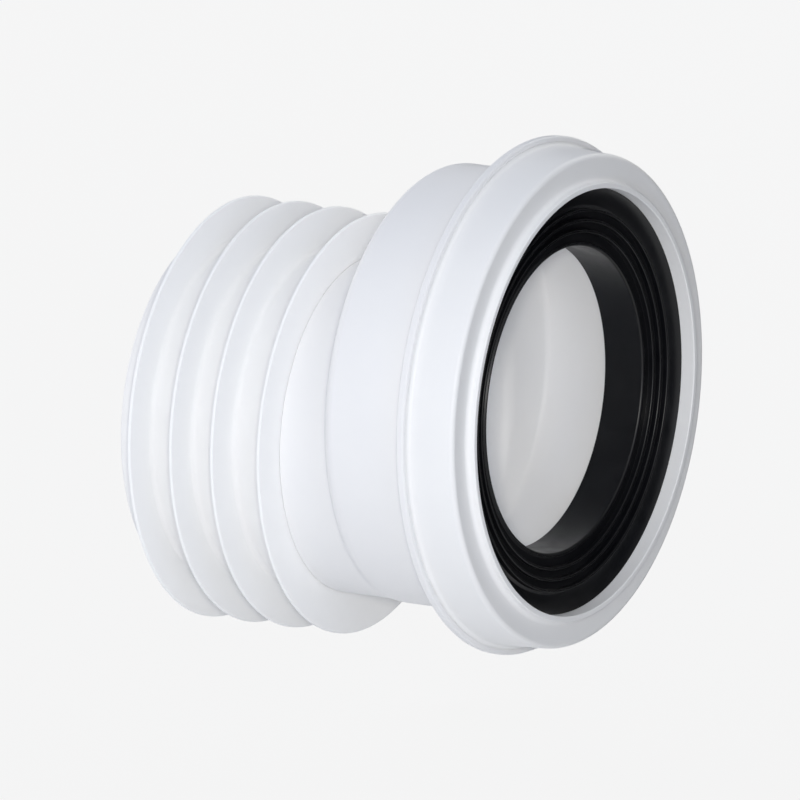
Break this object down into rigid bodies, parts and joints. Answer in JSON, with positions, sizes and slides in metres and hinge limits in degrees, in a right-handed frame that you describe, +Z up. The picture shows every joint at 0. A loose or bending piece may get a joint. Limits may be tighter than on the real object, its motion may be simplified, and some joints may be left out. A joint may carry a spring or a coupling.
{
  "type": "pan connector",
  "caption": "Offset toilet pan connector: a wide socket with a black rubber pan seal under a retaining ring, an eccentric shoulder and a lower spigot with soft disc fins for a soil pipe.",
  "frame": {"origin": "on the socket axis, in the joint face where the retaining ring meets the body's collar, inside the seal's sleeve", "axes": "+X along the socket axis out of the mouth towards the pan, +Z up as installed, the spigot towards -X on a parallel axis 14 mm lower"},
  "size_m": [0.1187, 0.1428, 0.1433],
  "materials": {
    "white_polypropylene": "smooth satin moulding",
    "white_elastomer": "smooth satin, soft",
    "black_rubber": "smooth, slightly glossy"
  },
  "bodies": {
    "root": {"connector_body": "white_polypropylene", "retaining_ring": "white_polypropylene", "fin_seal": "white_elastomer", "pan_seal": "black_rubber"}
  },
  "joints": []
}
